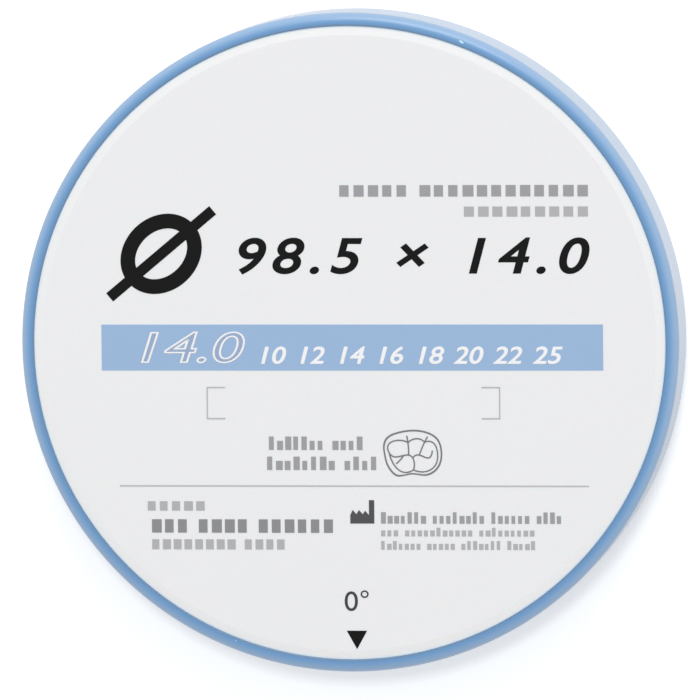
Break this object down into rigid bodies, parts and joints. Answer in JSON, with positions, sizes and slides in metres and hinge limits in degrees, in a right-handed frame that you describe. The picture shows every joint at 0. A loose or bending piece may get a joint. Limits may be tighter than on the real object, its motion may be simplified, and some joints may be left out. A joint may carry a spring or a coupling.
{
  "type": "dental milling disc",
  "caption": "Round white ceramic blank for dental milling, in a thin blue plastic collar ring, with a printed front face.",
  "frame": {"origin": "centre of the rear face, which the disc rests on", "axes": "+Z along the disc's axis towards the printed face, +Y towards the top of the print, +X to its right"},
  "size_m": [0.0984, 0.0984, 0.0141],
  "materials": {
    "presintered_zirconia": "matte",
    "blue_collar_plastic": "gloss",
    "blue_ink": "satin",
    "grey_ink": "matte",
    "black_ink": "matte"
  },
  "bodies": {
    "root": {"zirconia_blank": "presintered_zirconia", "collar_ring": "blue_collar_plastic", "blue_band": "blue_ink", "field_brackets": "grey_ink", "face_rule": "grey_ink", "index_triangle": "black_ink", "tooth_outline": "grey_ink"}
  },
  "joints": []
}
